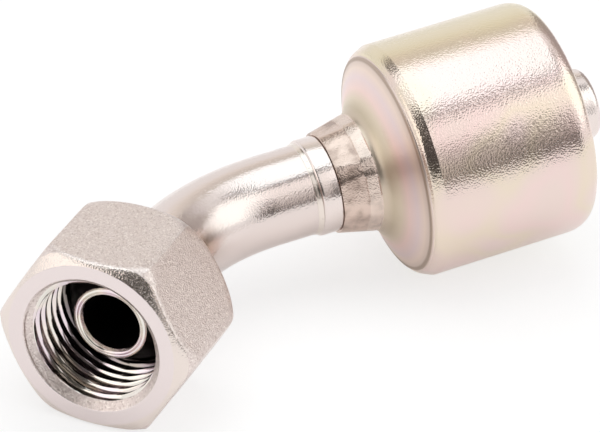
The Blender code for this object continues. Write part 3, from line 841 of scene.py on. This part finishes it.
def wall(name, radius, azimuths, levels, steps=16):
    """An upright curved card round the object; azimuth 0 is towards -Y and 90 towards +X."""
    corners = []
    low, high = levels[0][0], levels[-1][0]
    for i in range(steps):
        a, b = (math.radians(azimuths[0] + (azimuths[1] - azimuths[0]) * (i + k) / steps) for k in (0, 1))
        ends = [(radius * math.sin(t), -radius * math.cos(t)) for t in (a, b)]
        corners += [(*ends[0], low), (*ends[1], low), (*ends[1], high), (*ends[0], high)]
    panel(name, corners, levels)


def even(low, high, tone):
    """Levels of a card with one tone from its lower to its upper edge."""
    return [(low, tone), (high, tone)]


def softbox(name, place_at, size, radiance, backing, target=(0.0, 0.0, 0.015)):
    """A rectangular lamp that faces the object, with a card behind it that sets its tone in reflections."""
    lamp = bpy.data.lights.new(name, "AREA")
    lamp.shape = "RECTANGLE"
    lamp.size, lamp.size_y = size
    lamp.energy = radiance * math.pi * size[0] * size[1]
    holder = in_scene(name, lamp)
    holder.location = place_at
    turn = (Vector(target) - Vector(place_at)).to_track_quat("-Z", "Y")
    holder.rotation_euler = turn.to_euler()
    holder.visible_camera = False
    half_x, half_y, behind = size[0] / 2, size[1] / 2, 0.004
    edges = [(-half_x, -half_y), (half_x, -half_y), (half_x, half_y), (-half_x, half_y)]
    corners = [tuple(Vector(place_at) + turn @ Vector((x, y, behind))) for x, y in edges]
    panel(name + "_backing", corners, [(0.0, backing)])


def white_world():
    """White to the camera and in reflections, and a plain dimmer light on the object."""
    world = bpy.data.worlds.new("studio")
    bpy.context.scene.world = world
    world.use_nodes = True
    tree = world.node_tree
    tree.nodes.clear()
    path = add(tree, "ShaderNodeLightPath")
    seen = add(tree, "ShaderNodeMath", {0: path.outputs["Is Camera Ray"], 1: path.outputs["Is Glossy Ray"]},
               operation="MAXIMUM")
    seen = add(tree, "ShaderNodeMath", {0: seen, 1: path.outputs["Is Transmission Ray"]}, operation="MAXIMUM")
    strength = add(tree, "ShaderNodeMapRange", {"Value": seen, 3: 0.55, 4: 1.0})
    sky = add(tree, "ShaderNodeBackground", {"Color": (1, 1, 1, 1), "Strength": strength})
    add(tree, "ShaderNodeOutputWorld", {"Surface": sky})


def white_table():
    """A matt white table, lifted towards pure white for the camera, that keeps the object's shadow."""
    mesh = bpy.data.meshes.new("table")
    half = 15.0
    corners = [(-half, -half, 0), (half, -half, 0), (half, half, 0), (-half, half, 0)]
    mesh.from_pydata(corners, [], [(0, 1, 2, 3)])
    table = in_scene("table", mesh)
    white = bpy.data.materials.new("white_table")
    white.use_nodes = True
    tree = white.node_tree
    tree.nodes.clear()
    matt = add(tree, "ShaderNodeBsdfDiffuse", {"Color": (0.9, 0.9, 0.9, 1)})
    path = add(tree, "ShaderNodeLightPath")
    seen = add(tree, "ShaderNodeMath", {0: path.outputs["Is Camera Ray"], 1: path.outputs["Is Glossy Ray"]},
               operation="MAXIMUM")
    level = add(tree, "ShaderNodeMapRange", {"Value": path.outputs["Is Camera Ray"], 3: 3.0, 4: 1.15})
    level = add(tree, "ShaderNodeMath", {0: level, 1: seen}, operation="MULTIPLY")
    glow = add(tree, "ShaderNodeEmission", {"Color": (1, 1, 1, 1), "Strength": level})
    share = add(tree, "ShaderNodeMapRange", {"Value": path.outputs["Is Camera Ray"], 3: 0.1, 4: 0.6})
    lift = add(tree, "ShaderNodeMixShader", {"Fac": share, 1: matt, 2: glow})
    add(tree, "ShaderNodeOutputMaterial", {"Surface": lift})
    mesh.materials.append(white)


def cards():
    """Dark flags in front, a bright card between them, and dim ones at the right and the back."""
    black, soot, pale = (0.06, 0.055, 0.05), (0.09, 0.085, 0.08), (0.9, 0.86, 0.84)
    dim = (0.46, 0.43, 0.42)
    sand = (0.76, 0.73, 0.67)
    wall("front_flag_tall", 0.8, (-58, -30), [(0.001, black), (1.5, soot), (1.75, pale)])
    wall("front_flag_middle", 0.8, (-30, -2), [(0.07, black), (0.46, soot), (0.66, pale)])
    wall("front_flag_corner", 0.8, (-74, -58), even(0.7, 1.4, (0.1, 0.09, 0.085)), steps=6)
    wall("front_card_middle", 0.8, (-2, 17.4), [
        (0.03, (0.4, 0.37, 0.36)), (0.1, (0.42, 0.39, 0.38)), (0.2, (0.66, 0.62, 0.6)),
        (0.48, (0.88, 0.84, 0.81)), (0.62, (1.1, 1.07, 1.04)), (1.46, (1.17, 1.15, 1.13))])
    wall("front_flag_low", 0.8, (17.4, 34), [
        (0.001, (0.08, 0.07, 0.065)), (0.16, (0.1, 0.09, 0.085)), (0.23, (0.38, 0.35, 0.33)),
        (0.35, (1.02, 0.98, 0.96)), (0.5, (1.26, 1.23, 1.22)), (1.46, (1.28, 1.25, 1.24))])
    wall("near_flag", 0.3, (19.5, 26.0), even(0.1, 0.235, (0.04, 0.036, 0.033)), steps=4)
    wall("left_softbox_front", 0.8, (-108, -58), even(0.1, 0.62, (1.45, 1.41, 1.36)))
    wall("front_gap", 0.8, (-28, 105), even(1.5, 2.06, (0.14, 0.12, 0.11)), steps=24)
    wall("right_flag_low", 0.9, (78, 93), even(0.001, 0.15, dim), steps=4)
    wall("right_back_flag", 0.9, (93, 144), [
        (0.001, dim), (0.12, dim), (0.48, (0.46, 0.42, 0.4)), (1.0, (0.55, 0.51, 0.48))])
    wall("back_flag", 0.9, (144, 200), [
        (0.48, (0.98, 0.93, 0.87)), (0.66, (0.95, 0.9, 0.84)), (0.76, sand), (1.2, sand)])
    wall("far_back_flag", 0.85, (188, 214), even(0.6, 1.1, (0.12, 0.11, 0.1)), steps=6)


def studio():
    """White table and world, softboxes overhead and at the right, and the cards that metal reflects."""
    white_world()
    white_table()
    softbox("overhead_softbox", (-0.08, 0.165, 0.9), (0.84, 0.91), 1.4, (0.1, 0.21, 0.25),
            target=(-0.08, 0.165, 0.0))
    softbox("right_softbox", (0.62, -0.3, 0.5), (0.6, 0.7), 1.2, (0.34, 0.4, 0.37))
    cards()


def camera():
    """The photograph's camera, as fitted: a long lens above the table, its turn in degrees."""
    lens = bpy.data.cameras.new("camera")
    lens.lens = 270
    lens.sensor_width = 36
    lens.clip_start = 0.01
    holder = in_scene("camera", lens)
    holder.location = (-0.232057, -0.516289, 0.357678)
    holder.rotation_euler = [math.radians(a) for a in (58.92891, -2.02589, -22.85883)]
    bpy.context.scene.camera = holder


camera()
flats_tree = press_flats()
bright_thread = polished_thread()
threaded_nut([blasted_steel(), turned_face(), bright_thread, turned_chamfer()], flats_tree, cut_thread())
bent_tube([plated_tube(), dark_bore(), bright_thread], bend_tube())
turned_stem(turned_steel())
crimped_shell([passivated_shell(), pressed_neck()], flats_tree)
braze_bead(braze())
studio()
bpy.context.scene.view_settings.view_transform = "Standard"
